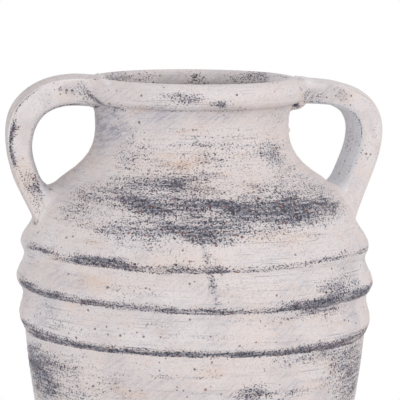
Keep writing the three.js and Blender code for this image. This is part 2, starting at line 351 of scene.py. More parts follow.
# Worn places of the wall, where the stain shows: azimuth from the front towards the right handle and
# its half width in degrees, height and its half height in millimetres, and how bare it is. The last
# seven, low on the flank, are made up.
WORN_PLACES = [
    (-58, 14, 399, 0.9, 0.35),
    (8, 60, 330, 28.4, 0.13),
    (5, 45, 325, 16.0, 0.22),
    (-26, 21, 345, 8.1, 0.26),
    (-23, 14, 345, 4.0, 0.42),
    (-6, 11, 350, 1.5, 0.42),
    (-52, 12, 334, 6.7, 0.4),
    (-60, 9, 318, 9.0, 0.26),
    (-25, 12, 331, 4.2, 0.72),
    (-7, 11, 331, 3.4, 0.66),
    (8, 8, 330, 3.6, 0.66),
    (18, 10, 329, 4.1, 0.9),
    (31, 10, 327, 4.0, 0.95),
    (45, 12, 325, 3.9, 0.85),
    (48, 18, 334, 4.1, 0.3),
    (16, 9, 322, 3.8, 0.34),
    (34, 12, 319, 4.4, 0.46),
    (-21, 12, 324, 4.9, 0.3),
    (-1, 11, 323, 6.0, 0.42),
    (-11, 16, 314, 5.1, 0.3),
    (-8, 13, 314, 2.5, 0.52),
    (-10, 4, 309, 5.4, 0.42),
    (-40, 7, 312, 5.2, 0.3),
    (-30, 8, 307, 6.6, 0.2),
    (-1, 6, 307, 5.0, 0.22),
    (0, 68, 370, 16.5, 0.06),
    (-49, 9, 362, 10.2, 0.2),
    (-27, 20, 361, 8.0, 0.08),
    (7, 12, 364, 9.2, 0.12),
    (39, 12, 367, 7.4, 0.24),
    (46, 12, 353, 7.3, 0.18),
    (-3, 16, 373, 0.7, 0.2),
    (-13, 10, 384, 0.7, 0.32),
    (10, 23, 379, 0.8, 0.2),
    (-18, 11, 410, 3.8, 0.3),
    (-13, 5, 410, 2.3, 0.42),
    (2, 2, 405, 1.6, 0.7),
    (-28, 9, 267, 3.2, 0.16),
    (9, 12, 269, 7.2, 0.08),
    (41, 10, 266, 7.1, 0.44),
    (22, 23, 246, 3.5, 0.14),
    (-25, 5, 241, 2.2, 0.14),
    (-6, 8, 233, 2.8, 0.12),
    (-63, 12, 237, 6.7, 0.14),
    (-76, 15, 187, 21.2, 0.6),
    (-82, 13, 198, 9.3, 0.42),
    (-61, 7, 199, 2.4, 0.32),
    (-48, 15, 192, 15.9, 0.14),
    (9, 4, 188, 6.8, 0.4),
    (18, 13, 186, 2.4, 0.34),
    (59, 12, 190, 26.1, 0.54),
    (43, 9, 199, 11.2, 0.22),
    (-16, 9, 201, 1.0, 0.26),
    (26, 17, 211, 3.6, 0.14),
    (39, 12, 214, 4.1, 0.24),
    (-119, 29, 415, 3.9, 0.36),
    (-161, 6, 416, 2.5, 0.2),
    (170, 4, 413, 3.9, 0.36),
    (125, 20, 414, 5.7, 0.38),
    (-40, 20, 150, 9, 0.34),
    (20, 26, 128, 7, 0.38),
    (-12, 16, 96, 8, 0.3),
    (48, 22, 70, 9, 0.38),
    (-62, 18, 60, 8, 0.34),
    (8, 30, 24, 7, 0.4),
    (-50, 24, 14, 6, 0.4),
]

# Stain left under the ridges: ridge from the lowest, azimuth and half width in degrees, top and
# bottom in millimetres from the crest, and how bare it is. The bottom edge is crisp.
RIDGE_STAINS = [
    (2, -72, 8, 1.5, -2.5, 0.5),
    (2, -48, 16, -1.0, -6.5, 0.4),
    (2, -43, 9, -0.5, -7.0, 0.6),
    (2, -24, 8, -3.5, -8.5, 0.5),
    (2, -10, 7, -3.5, -7.5, 0.6),
    (2, 5, 10, -4.5, -7.5, 0.4),
    (2, 21, 7, -3.5, -6.0, 0.34),
    (2, 52, 24, -0.5, -3.0, 0.42),
    (1, -80, 8, 2.0, -4.0, 0.55),
    (1, -66, 8, -1.0, -6.0, 0.7),
    (1, -51, 10, -2.0, -6.5, 0.6),
    (1, -30, 10, -3.0, -7.5, 0.42),
    (1, -12, 9, -4.5, -8.5, 0.62),
    (1, 6, 10, -5.5, -8.5, 0.5),
    (1, 28, 11, -1.5, -7.5, 0.76),
    (1, 34, 8, -9.0, -12.0, 0.4),
    (1, 52, 20, 0.5, -6.5, 0.72),
    (0, -80, 8, -2.0, -6.5, 0.5),
    (0, -69, 9, -5.0, -9.5, 0.66),
    (0, -50, 11, -7.0, -11.3, 0.66),
    (0, -25, 14, -7.5, -11.3, 0.66),
    (0, -1, 10, -8.5, -11.3, 0.62),
    (0, 16, 8, -7.5, -11.3, 0.6),
    (0, 34, 10, -6.0, -10.5, 0.58),
    (0, 60, 16, -3.5, -8.5, 0.62),
    (0, 0, 175, -9.8, -11.3, 0.5),
]

# Iron bleeding through the wash: azimuth, half width, height, half height and strength.
OCHRE_PLACES = [
    (-17, 12, 360, 8.3, 0.75),
    (5, 14, 343, 6.3, 0.40),
    (-55, 15, 325, 17.3, 0.35),
    (-45, 5, 271, 8.1, 0.60),
    (-69, 10, 273, 9.9, 0.45),
    (-47, 5, 299, 3.6, 0.60),
    (20, 15, 305, 6.6, 0.45),
    (21, 14, 238, 8.6, 0.40),
    (-3, 7, 200, 12.2, 0.50),
    (33, 9, 196, 14.3, 0.60),
    (-30, 7, 189, 7.9, 0.50),
    (-48, 11, 411, 5.7, 0.35),
    (25, 25, 401, 5.2, 0.30),
    (-16, 19, 288, 9.2, 0.20),
    (24, 20, 278, 10.6, 0.20),
    (52, 16, 222, 3.0, 0.60),
]

# Thin grey wash, partly painted shade: azimuth, half width, height, half height and strength. The places on
# the neck's left side, just under the rim's hanging edge and inside the back of the rim paint shade as well
# as thin wash.
THIN_WASH_AND_SHADE_PLACES = [
    (-54, 18, 327, 15.2, 0.4),
    (-48, 15, 411, 6.0, 0.2),
    # Partly painted shade: the neck's left side
    (-72, 21, 385, 20.5, 0.95),
    # Partly painted shade, the next three: just under the rim's hanging edge
    (-31, 13, 395, 8.6, 0.6),
    (5, 19, 398, 6.3, 0.45),
    (47, 24, 393, 8.1, 0.28),
    (-77, 13, 335, 6.5, 0.35),
    (3, 53, 325, 16.0, 0.14),
    (54, 23, 336, 6.5, 0.35),
    (-26, 17, 303, 5.0, 0.2),
    (-77, 17, 188, 21.6, 0.35),
    (58, 14, 190, 24.6, 0.3),
    (-73, 12, 273, 4.3, 0.25),
    (-47, 12, 290, 4.5, 0.2),
    # Partly painted shade, the last three: inside the back of the rim
    (-125, 28, 414, 7, 0.45),
    (130, 26, 413, 8, 0.4),
    (180, 16, 411, 7, 0.35),
]

# Drips that ran down the shoulder: azimuth and height at the top and at the bottom, and half the width.
DRIPS = [
    (-8, 302, -6.7, 289, 1.6),
    (-6.4, 286, -4.1, 259, 1.9),
]

# Worn places of the straps, left and right: share of the length and its half, angle round the strap in
# degrees (0 outside, -90 to the front, 180 inside) and its half, and how bare it is.
STRAP_STAINS = (
    [
        (0.55, 0.09, -67, 16, 0.95),
        (0.4, 0.08, -53, 4, 0.5),
        (0.72, 0.04, -94, 20, 0.36),
        (0.745, 0.03, -103, 14, 0.6),
        (0.83, 0.06, -95, 26, 0.4),
        (0.5, 0.16, -118, 12, 0.25),
        (0.22, 0.12, -133, 8, 0.75),
        (0.14, 0.05, -85, 30, 0.24),
        (0.1, 0.03, -110, 12, 0.35),
        (0.235, 0.008, -84, 5, 0.9),
        (0.6, 0.3, 180, 55, 0.12),
        (0.5, 0.16, 95, 30, 0.35),
        (0.8, 0.08, 70, 40, 0.4),
    ],
    [
        (0.24, 0.04, -68, 14, 0.22),
        (0.29, 0.03, -88, 12, 0.18),
        (0.11, 0.03, -100, 24, 0.25),
        (0.2, 0.1, -132, 8, 0.4),
        (0.47, 0.12, -139, 6, 0.75),
        (0.43, 0.1, -150, 14, 0.18),
        (0.54, 0.07, -96, 22, 0.1),
        (0.65, 0.06, -112, 18, 0.14),
        (0.4, 0.04, -62, 12, 0.1),
        (0.55, 0.18, 90, 34, 0.35),
        (0.5, 0.36, 180, 48, 0.08),
    ],
)


def turn_apart(a, b):
    """The angle in degrees from b to a, between -180 and 180."""
    return (a - b + 180) % 360 - 180


def patch(azimuth, level, place, shift):
    """How much of a place reaches a point. The far side of the pot wears alike, shifted round."""
    middle, half_width, height, half_height, strength = place
    across = turn_apart(azimuth, middle + shift) / (half_width + 1.5)
    up = (level - height) / (half_height + 0.8)
    return strength * ramp(math.hypot(across, up), 1.7, 0.1)


def stain(azimuth, above_seam, place, shift, ridges):
    """How much stain is left under a ridge at a point."""
    ridge, middle, half_width, top, bottom, strength = place
    above = above_seam - (ridges.lowest + ridge * ridges.pitch) / MM
    across = ramp(abs(turn_apart(azimuth, middle + shift)) / (half_width + 2), 1.4, 0.5)
    return strength * across * ramp(above, top + 4, top - 2) * ramp(above, bottom - 0.7, bottom + 0.5)


def drip(azimuth, level, radius, place):
    """How much of a drip reaches a point; it wanders from its top to its bottom."""
    top_azimuth, top, bottom_azimuth, bottom, half_width = place
    share = min(1.0, max(0.0, (top - level) / (top - bottom)))
    middle = top_azimuth + (bottom_azimuth - top_azimuth) * share
    across = abs(turn_apart(azimuth, middle)) * math.pi / 180 * radius
    ends = ramp(level, top + 2, top) * ramp(level, bottom - 2, bottom)
    return ramp(across, half_width + 1.6, half_width - 0.8) * ends


FAR_SIDE = 187  # degrees by which the front's patches are turned to wear the back
BELLY_VEIL = 0.26  # how much thinner the wash is in the belly's blotches
BELLY_TOP = 302  # millimetres up, where these end
RIM_WEAR = 400  # the wear of the rim, above this height, is placed all round and isn't repeated


def near_level(places, height, shift):
    """The places that can reach a height in millimetres, each with how far it is shifted round."""
    near = [place for place in places if abs(height - place[2]) < 1.7 * place[3] + 7]
    return [(place, shift) for place in near if not shift or place[2] < RIM_WEAR]


def level_marks(vase, level):
    """What can mark the wall at a level: worn places, ridge stains, ochre places and thin wash, some of which
    paints shade.
    """
    height = level / MM
    above_seam = (level - seam_z(vase)) / MM
    ridges = vase.ridges
    worn = []
    ochre = []
    stains = []
    thin = []
    for shift in (0, FAR_SIDE):
        worn += near_level(WORN_PLACES, height, shift)
        ochre += near_level(OCHRE_PLACES, height, shift)
        thin += near_level(THIN_WASH_AND_SHADE_PLACES, height, shift)
        for place in RIDGE_STAINS:
            above = above_seam - (ridges.lowest + place[0] * ridges.pitch) / MM
            if place[4] - 2 < above < place[3] + 8:
                stains.append((place, shift))
    return worn, stains, ochre, thin


def wall_marks(vase, level, point, candidates):
    """Wear, ochre and thinness of the wash at a point of the turned wall; the thinness also carries painted
    shade.
    """
    azimuth = math.degrees(math.atan2(point.x, -point.y))
    wander = noise.noise(point * 60) * 1.4 + noise.noise(point * 190) * 1.6
    height = level / MM + wander
    turned = azimuth + 4 * noise.noise(point * 45 + Vector((7, 0, 0)))
    above_seam = (level - seam_z(vase)) / MM
    worn, stains, ochres, thin = candidates
    clear = 1.0
    for place, shift in worn:
        clear *= 1 - patch(turned, height, place, shift)
    for place, shift in stains:
        clear *= 1 - stain(turned, above_seam + 0.35 * wander, place, shift, vase.ridges)
    ochre = max((patch(turned, height, place, shift) for place, shift in ochres), default=0.0)
    veil = max((patch(turned, height, place, shift) for place, shift in thin), default=0.0)
    blotch = ramp(noise.noise(point * 30 + Vector((0, 0, 11))), -0.15, 0.35)
    veil = max(veil, BELLY_VEIL * blotch * ramp(height, BELLY_TOP, BELLY_TOP - 12))
    radius = math.hypot(point.x, point.y) / MM
    run = max(drip(azimuth, level / MM, radius, place) for place in DRIPS)
    return max(1 - clear, 0.32 * run), ochre, max(veil, 0.7 * run)


def layers(bm):
    """The mesh's own data that the finish reads, by name."""
    kinds = ("wear", "ochre", "thin", "cold", "bare", "level", "outside", "smear")
    floats = {name: bm.verts.layers.float.new(name) for name in kinds}
    floats["lay"] = bm.verts.layers.float_vector.new("lay")
    return floats


def turned_shell(vase, profile, outside_points, closed):
    """A bmesh turned from a profile of (radius, height); the first outside_points of it face out."""
    bm = bmesh.new()
    marks = layers(bm)
    verts = []
    for i, point in enumerate(profile):
        vert = bm.verts.new((point.x, 0, point.y))
        vert[marks["level"]] = point.y
        vert[marks["outside"]] = 1.0 if i < outside_points else 0.0
        verts.append(vert)
    pairs = list(zip(verts, verts[1:]))
    if closed:
        pairs.append((verts[-1], verts[0]))
    edges = [bm.edges.new(pair) for pair in pairs]
    bmesh.ops.spin(
        bm,
        geom=verts + edges,
        cent=(0, 0, 0),
        axis=(0, 0, 1),
        angle=2 * math.pi,
        steps=vase.hand.turns,
        use_merge=True,
    )
    bmesh.ops.remove_doubles(bm, verts=bm.verts, dist=0.01 * MM)
    bmesh.ops.recalc_face_normals(bm, faces=bm.faces)
    return bm, marks


# Crumbs of clay left on the wall: azimuth in degrees, height, half the size and how far it stands out.
CRUMBS = [(73, 379, 3.6, 1.3), (-64, 262, 2.4, 0.6), (38, 318, 2.6, 0.7), (152, 341, 3.0, 0.9)]


def crumbs(azimuth, level, radius):
    """How far the crumbs of clay stand out at a point of the wall."""
    out = 0.0
    for middle, height, half, proud in CRUMBS:
        if abs(level / MM - height) < half:
            across = math.radians(turn_apart(math.degrees(azimuth), middle)) * radius / MM
            out += proud * MM * ramp(math.hypot(across, level / MM - height), half, 0)
    return out


def unevenness(vase, point, level):
    """How far the hands left the wall in or out at a point: slow lumps, finger marks and crumbs."""
    hand = vase.hand
    slow = noise.noise(Vector((point.x * 9, point.y * 9, point.z * 14)))
    middle = noise.noise(Vector((point.x * 24, point.y * 24, point.z * 42)) + Vector((3, 8, 1)))
    azimuth = math.atan2(point.x, -point.y)
    spiral = level / (6.3 * MM) + azimuth / (2 * math.pi)
    finger = math.sin(2 * math.pi * spiral + 2.5 * noise.noise(point * 16)) * (0.5 + noise.noise(point * 11))
    lumps = hand.lumps * (0.6 * slow + 0.35 * middle)
    return lumps + hand.throwing * finger + crumbs(azimuth, level, math.hypot(point.x, point.y))


def finish_wall(vase, bm, marks, name):
    """Gives a turned shell its marks, its unevenness and the pot's lean, and makes it an object."""
    by_level = {}
    for vert in bm.verts:
        level = vert[marks["level"]]
        point = vert.co.copy()
        moved = thrown(vase, point)
        vert[marks["lay"]] = (moved.x, moved.y, level)
        if vert[marks["outside"]]:
            key = round(level / MM, 2)
            if key not in by_level:
                by_level[key] = level_marks(vase, level)
            wear, ochre, thin = wall_marks(vase, level, point, by_level[key])
            vert[marks["wear"]] = wear
            vert[marks["ochre"]] = ochre
            vert[marks["thin"]] = thin
            outward = Vector((point.x, point.y, 0)).normalized()
            moved += outward * unevenness(vase, point, level)
        vert.co = moved
    return finished(bm, name)


def face_rank(face, count):
    """A number that orders a face among a mesh's by its three lowest corners."""
    low = sorted(vert.index for vert in face.verts)
    return (low[0] * count + low[1]) * count + low[2]


def finished(bm, name):
    """A smooth-shaded object in the scene, from a bmesh and with its marks."""
    # The operators leave the faces in an order that changes from run to run, and the smears depend
    # on it
    bm.verts.index_update()
    count = len(bm.verts)
    bm.faces.sort(key=lambda face: face_rank(face, count))
    mesh = bpy.data.meshes.new(name)
    bm.to_mesh(mesh)
    bm.free()
    mesh.shade_smooth()
    piece = bpy.data.objects.new(name, mesh)
    bpy.context.scene.collection.objects.link(piece)
    return piece


def joined_to_vase(piece, node, finish):
    """Gives a finished piece its material and its place in the frame."""
    piece.data.materials.append(finish)
    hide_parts(node)
    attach(piece, "root")
    return piece


SMOOTH = {"interpolation_type": "SMOOTHSTEP"}
COLOURS = {"data_type": "RGBA"}


def add_node(tree, kind, *values, named=None, output=None, **settings):
    """Adds a shader node with its settings, and with values or links for its inputs, in turn or by name.

    It returns the node's output of a name, or else the first that is in use.
    """
    node = tree.nodes.new("ShaderNode" + kind)
    for name, setting in settings.items():
        setattr(node, name, setting)
    sockets = [socket for socket in node.inputs if socket.enabled]
    pairs = list(zip(sockets, values)) + [(node.inputs[name], value) for name, value in (named or {}).items()]
    for socket, value in pairs:
        if isinstance(value, bpy.types.NodeSocket):
            tree.links.new(value, socket)
        else:
            socket.default_value = value
    if output:
        return node.outputs[output]
    return next((socket for socket in node.outputs if socket.enabled), None)


def limewashed_clay(vase, name):
    """Terracotta, stained dark, limewashed and rubbed back: chalky, matt, and grainy where it is worn."""
    existing = bpy.data.materials.get(name)
    if existing:
        return existing
    colours = {key: tuple(getattr(vase.colours, key)) for key in WashColours.__annotations__}
    material = bpy.data.materials.new(name)
    material.use_nodes = True
    material.node_tree.nodes.clear()
    node = partial(add_node, material.node_tree)

    def pattern(vector, size, stretch, detail, roughness=0.5):
        """Noise with cells of a size in millimetres, longer along the strokes by a stretch."""
        along = 1 / (size * stretch * MM)
        placed = node("VectorMath", vector, (along, along, 1 / (size * MM)), operation="MULTIPLY")
        return node("TexNoise", placed, 1.0, detail, roughness)

    place = node("TexCoord", output="Object")
    lay = node("Attribute", output="Vector", attribute_name="lay")
    wear, ochre, bare, smear, thin, cold = (
        node("Attribute", output="Fac", attribute_name=mark)
        for mark in ("wear", "ochre", "bare", "smear", "thin", "cold")
    )

    # Grit of the clay is about 0.5 mm. It is drawn at 1.15 mm, whose specks are the finest that show.
    grit = pattern(place, 1.15, 1.2, 1.0, 0.6)
    clumps = pattern(place, 4.2, 1.5, 1.0)
    strokes = pattern(lay, 1.7, 14.0, 2.0, 0.6)
    drifts = pattern(lay, 13.0, 2.6, 2.0)
    clouds = pattern(lay, 42.0, 1.6, 2.0)
    slanted = node("VectorRotate", place, (0, 0, 0), 0.7, rotation_type="Y_AXIS")
    wipes = pattern(slanted, 1.6, 9.0, 2.0, 0.6)
    streaked = node("MapRange", strokes, 0.4, 0.6, **SMOOTH)
    drifted = node("MapRange", drifts, 0.38, 0.62, **SMOOTH)

    # Wash: warm where thin, cool where thick, brushed round the pot; lighter where fresh wash is smeared on,
    # which also paints highlights, and a pale cool tint in the straps' shade, which paints the cool light
    # there
    clouded = node("Math", clouds, 0.5, operation="MULTIPLY")
    brushed = node("Math", clouded, node("Math", strokes, 0.2, operation="MULTIPLY"), operation="ADD")
    brushed = node("Math", drifts, 0.3, brushed, operation="MULTIPLY_ADD")
    warmth = node("Math", node("MapRange", brushed, 0.4, 0.6, **SMOOTH), thin, operation="MAXIMUM")
    wash = node("Mix", warmth, colours["warm_wash"], colours["cool_wash"], **COLOURS)
    bleeding = node("Math", ochre, node("MapRange", drifts, 0.42, 0.62, **SMOOTH), operation="MULTIPLY")
    bleeding = node("Math", bleeding, 0.7, operation="MULTIPLY")
    faint = node("MapRange", pattern(lay, 9.0, 2.6, 2.0), 0.55, 0.75, **SMOOTH)
    faint = node("Math", faint, 0.24, operation="MULTIPLY")
    iron = node("Math", bleeding, faint, operation="MAXIMUM")
    wash = node("Mix", iron, wash, colours["ochre"], **COLOURS)
    # Fresh wash over the joints, which also paints highlights on their tops, along the left strap's arris and
    # in the smear strokes
    fresh = node("Math", smear, 0.7, operation="MULTIPLY")
    wash = node("Mix", fresh, wash, colours["fresh_wash"], **COLOURS)
    # Painted light: the straps' inner faces get a pale cool tint for the cool light in their shade
    wash = node("Mix", cold, wash, colours["cold_wash"], **COLOURS)

    # Density of the wear: what the hands rubbed bare, in strokes and drifts, and a little all over
    uneven = node("Math", drifted, 0.3, 0.55, operation="MULTIPLY_ADD")
    uneven = node("Math", streaked, 0.45, uneven, operation="MULTIPLY_ADD")
    overall = node("Math", node("MapRange", drifts, 0.52, 0.7, **SMOOTH), 0.1, operation="MULTIPLY")
    density = node("Math", wear, uneven, overall, operation="MULTIPLY_ADD")
    unsmeared = node("Math", smear, -0.9, 1.0, operation="MULTIPLY_ADD")
    density = node("Math", density, unsmeared, operation="MULTIPLY")

    # Thin wash: the stain greys the surface round each worn place and where the wash was wiped; where the
    # thin marks lie on the neck's left side, under the rim and inside the back of the rim, this grey is
    # partly painted shade
    half_clumps = node("Math", clumps, 0.5, operation="MULTIPLY")
    mottle = node("Math", half_clumps, node("Math", grit, 0.5, operation="MULTIPLY"), operation="ADD")
    mottle = node("MapRange", mottle, 0.62, 0.38, **SMOOTH)
    wiped = node("MapRange", wipes, 0.38, 0.62, **SMOOTH)
    wiped = node("Math", wiped, 0.6, 0.45, operation="MULTIPLY_ADD")
    wiped = node("Math", thin, wiped, operation="MULTIPLY")
    haze = node("Math", node("MapRange", density, 0.0, 0.9, **SMOOTH), 0.9, operation="MULTIPLY")
    haze = node("Math", haze, wiped, operation="MAXIMUM")
    mottled = node("Math", mottle, 0.5, 0.6, operation="MULTIPLY_ADD")
    haze = node("Math", haze, mottled, operation="MULTIPLY")
    specks = node("Math", node("MapRange", grit, 0.48, 0.68, **SMOOTH), 0.26, operation="MULTIPLY")
    veil = node("MapRange", strokes, 0.5, 0.7, **SMOOTH)
    veil = node("Math", veil, 0.2, specks, operation="MULTIPLY_ADD")
    veil = node("Math", node("MapRange", wipes, 0.5, 0.66, **SMOOTH), 0.07, veil, operation="MULTIPLY_ADD")
    unsmeared = node("Math", smear, -0.8, 1.0, operation="MULTIPLY_ADD")
    haze = node("Math", node("Math", haze, veil, operation="ADD"), unsmeared, operation="MULTIPLY")
    toned = node("Mix", haze, wash, colours["thin_wash"], **COLOURS)

    # Worn grit: the denser the wear, the more of the grit is bare of wash, at most two thirds
    fine = node("Math", grit, 0.85, operation="MULTIPLY")
    grain = node("Math", fine, node("Math", clumps, 0.15, operation="MULTIPLY"), operation="ADD")
    ranked = node("MapRange", grain, 0.343, 0.657, **SMOOTH)
    cover = node("Math", node("Math", density, 1.35, operation="MULTIPLY"), 1.0, operation="MINIMUM")
    bared = node("MapRange", node("Math", ranked, cover, operation="ADD"), 0.98, 1.28, **SMOOTH)
    depth = node("MapRange", pattern(place, 2.2, 1.3, 1.0), 0.36, 0.6, **SMOOTH)
    depth = node("Math", depth, 0.4, 0.6, operation="MULTIPLY_ADD")
    rust = node("MapRange", pattern(place, 2.6, 1.6, 1.0), 0.6, 0.7, **SMOOTH)
    rust = node("Math", rust, 0.8, operation="MULTIPLY")
    rust = node("Math", rust, node("Math", ochre, 0.45, operation="MULTIPLY"), operation="MAXIMUM")
    dark = node("Mix", rust, colours["stain"], colours["clay"], **COLOURS)
    bared_through = node("Math", bared, depth, operation="MULTIPLY")
    stained = node("Mix", bared_through, toned, dark, **COLOURS)

    # Scratches drawn round the pot by the potter's rib
    scratch = node("MapRange", pattern(lay, 0.65, 70.0, 1.0), 0.645, 0.71, **SMOOTH)
    rubbed = node("Math", node("Math", wear, 0.25, operation="MULTIPLY"), clouds, operation="ADD")
    rubbed = node("MapRange", rubbed, 0.5, 0.62, **SMOOTH)
    scratched = node("Math", scratch, rubbed, operation="MULTIPLY")
    scratched = node("Math", scratched, 0.5, operation="MULTIPLY")
    stained = node("Mix", scratched, stained, dark, **COLOURS)

    # Pinholes: small dark and brown pits, at most one to a cell of 4.2 mm, gathered in drifts
    distance = node("TexVoronoi", place, 1 / (4.2 * MM), feature="F1")
    chance = node("SeparateColor", distance.node.outputs["Color"]).node.outputs
    size = node("Math", chance["Red"], 2.0, operation="POWER")
    size = node("Math", size, 0.28, operation="MULTIPLY")
    size = node("Math", size, node("MapRange", drifts, 0.37, 0.55, **SMOOTH), operation="MULTIPLY")
    pit = node("MapRange", node("Math", size, distance, operation="SUBTRACT"), -0.03, 0.03, **SMOOTH)
    brown = node("MapRange", chance["Green"], 0.45, 0.5, **SMOOTH)
    pit_colour = node("Mix", brown, colours["stain"], colours["clay"], **COLOURS)
    pitted = node("Math", pit, 0.75, operation="MULTIPLY")
    pitted = node("Mix", pitted, stained, pit_colour, **COLOURS)

    # Bare clay inside and underneath
    earth = node("Mix", grit, colours["bare_clay"], colours["clay"], **COLOURS)
    surface = node("Mix", bare, pitted, earth, **COLOURS)

    # Relief: grit, strokes and pits
    half_grit = node("Math", grit, 0.5, operation="MULTIPLY")
    relief = node("Math", half_grit, node("Math", strokes, 0.6, operation="MULTIPLY"), operation="ADD")
    hollows = node("Math", node("Math", bared, pit, operation="MAXIMUM"), 0.6, operation="MULTIPLY")
    relief = node("Math", relief, hollows, operation="SUBTRACT")
    bump = node("Bump", named={"Height": relief, "Strength": 0.5, "Distance": 0.4 * MM})
    chalky = {"Base Color": surface, "Roughness": 0.92, "Specular IOR Level": 0.25, "Normal": bump}
    node("OutputMaterial", node("BsdfPrincipled", named=chalky))
    return material


class VASE_OT_lower_section(bpy.types.Operator):
    """Turns the lower section: the foot, the flank, the floor and the inner wall."""

    bl_idname = "vase.lower_section"
    bl_label = "Lower Section"

    def execute(self, context):
        vase = context.scene.vase
        wall = vase.wall
        rounding = wall.foot_rounding
        flank = flank_line(vase)
        foot = quarter((wall.foot_radius - rounding, rounding), rounding, -rounding, 2, 8)
        fine = [p for p in flank if p.y > seam_z(vase) - 52 * MM]
        coarse = [p for p in flank if p.y <= seam_z(vase) - 52 * MM]
        outside = [Vector((0, 0))] + foot + resampled(coarse, 2.2 * MM)[1:] + resampled(fine, 1.1 * MM)
        inner = [p for p in offset_line(flank, -wall.thickness) if p.y > wall.floor + wall.inner_rounding]
        round_in = wall.inner_rounding
        corner = quarter((wall.foot_radius - round_in, wall.floor + round_in), round_in, -round_in, 2, 6)
        inside = resampled(inner, 12 * MM)[::-1] + corner[::-1] + [Vector((0, wall.floor))]
        bm, marks = turned_shell(vase, outside + inside, len(outside), False)
        for vert in bm.verts:
            vert[marks["bare"]] = 0.0 if vert[marks["outside"]] and vert.co.z > 0.5 * MM else 1.0
        piece = finish_wall(vase, bm, marks, "LowerSection")
        joined_to_vase(piece, "lower_body", limewashed_clay(vase, "limewashed terracotta"))
        return {"FINISHED"}


class VASE_OT_upper_section(bpy.types.Operator):
    """Turns the upper section: the ridged belly, the shoulder and the neck."""

    bl_idname = "vase.upper_section"
    bl_label = "Upper Section"

    def execute(self, context):
        vase = context.scene.vase
        wall = vase.wall
        line = resampled(upper_line(vase), 1.02 * MM)
        outside = [Vector((p.x + ridge_at(vase, p.y - seam_z(vase)), p.y)) for p in line]
        inside = offset_line(resampled(upper_line(vase), 9 * MM), -wall.thickness)
        inside[-1].x = wall.neck_radius - vase.rim.lip
        bm, marks = turned_shell(vase, outside + inside[::-1], len(outside), True)
        for vert in bm.verts:
            depth = neck_top(vase) - vert.co.z
            vert[marks["bare"]] = 0.0 if vert[marks["outside"]] else ramp(depth, 25 * MM, 60 * MM)
            vert[marks["wear"]] = 0.3
        piece = finish_wall(vase, bm, marks, "UpperSection")
        joined_to_vase(piece, "upper_body", limewashed_clay(vase, "limewashed terracotta"))
        return {"FINISHED"}


def roll_line(vase):
    """The rim's outside, from its hanging edge over the crest to the mouth."""
    rim = vase.rim
    foot = neck_top(vase) - rim.overlap
    middle = (foot + rim_top(vase)) / 2
    crest = vase.wall.neck_radius - rim.crest_in
    out = rim.crest_in + rim.out
    under = quarter((crest, middle), out, -(middle - foot), 2.6, 40)
    over = quarter((crest, middle), out, rim_top(vase) - middle, 1.9, 40)
    inner = quarter((crest, rim_top(vase) - rim.inside), rim.crest_in - rim.lip, rim.inside, 2.2, 40)
    lap = vase.wall.neck_radius + LAP
    return [p for p in under if p.x > lap] + over[::-1][1:] + inner[1:]


class VASE_OT_rolled_rim(bpy.types.Operator):
    """Turns the roll of clay folded over the neck."""

    bl_idname = "vase.rolled_rim"
    bl_label = "Rolled Rim"

    def execute(self, context):
        vase = context.scene.vase
        rim = vase.rim
        foot = neck_top(vase) - rim.overlap
        lap = vase.wall.neck_radius + LAP
        mouth = vase.wall.neck_radius - rim.lip
        outside = resampled(roll_line(vase), 1.1 * MM)
        seat = neck_top(vase) + SLIP
        inside = [Vector((mouth, seat)), Vector((lap, seat)), Vector((lap, foot))]
        bm, marks = turned_shell(vase, outside + inside, len(outside), True)
        piece = finish_wall(vase, bm, marks, "RolledRim")
        joined_to_vase(piece, "rim", limewashed_clay(vase, "limewashed terracotta"))
        return {"FINISHED"}


STRAP_NODES = ("handle_left", "handle_right")
STRAP_STEP = 1.6 * MM
STRAP_EDGES = ((5.0, 4.5), (3.0, 5.0))  # superellipse powers of the outer and the inner corners
STRAP_ARRIS = -47  # angle round the left strap of the bead along its outer front corner
STRAP_RING = 72  # points round a strap
# For the left strap and the right one: how thin the wash is on the inside and the outside, how much of the
# pale cool tint the inside gets, which paints the cool light in the strap's shade, and how warm the outside
# is.
STRAP_THIN = (0.3, 0.0)
STRAP_PAINTED_COOL_SHADE = (0.4, 0.9)
STRAP_OCHRE = (0.45, 0.0)


def strap_line(vase, index):
    """The middle line of a strap, as radius and height, out of the rim and down to its foot."""
    straps = vase.straps
    wall = vase.wall
    top = rim_top(vase)
    crown = Vector((wall.neck_radius + straps.crown_out[index], top - straps.crown_drop[index]))
    reach = Vector((wall.seam_radius + straps.reach_out[index], top - straps.reach_drop[index]))
    dip = straps.root_dip[index]
    start = Vector((wall.neck_radius - vase.rim.crest_in - straps.root_depth, crown.y - dip))
    climb = Vector(((start.x + crown.x) / 2, crown.y - dip / 3))
    bend = quarter((crown.x, reach.y), reach.x - crown.x, crown.y - reach.y, straps.bend_power, 40)
    line = [start, climb] + bend
    foot = seam_z(vase) + straps.foot_lift
    for i in range(1, 41):
        z = reach.y + (foot - reach.y) * i / 40
        inset = straps.foot_inset[index] * ramp(z, reach.y, reach.y - straps.foot_run)
        line.append(Vector((reach.x - inset, z)))
    line = resampled(line, STRAP_STEP)
    for _ in range(30):
        line = [line[0]] + [(a + b * 2 + c) / 4 for a, b, c in zip(line, line[1:], line[2:])] + [line[-1]]
    return line


def strap_wear(index, share, turn, point):
    """How bare of wash a strap is at a share of its length and an angle round it."""
    wander = noise.noise(point * 70)
    clear = 1.0
    for middle, half, angle, half_angle, strength in STRAP_STAINS[index]:
        along = (share - middle + 0.02 * wander) / half
        round_it = turn_apart(math.degrees(turn) + 8 * wander, angle) / half_angle
        clear *= 1 - strength * ramp(math.hypot(along, round_it), 1.4, 0.4)
    return 1 - clear


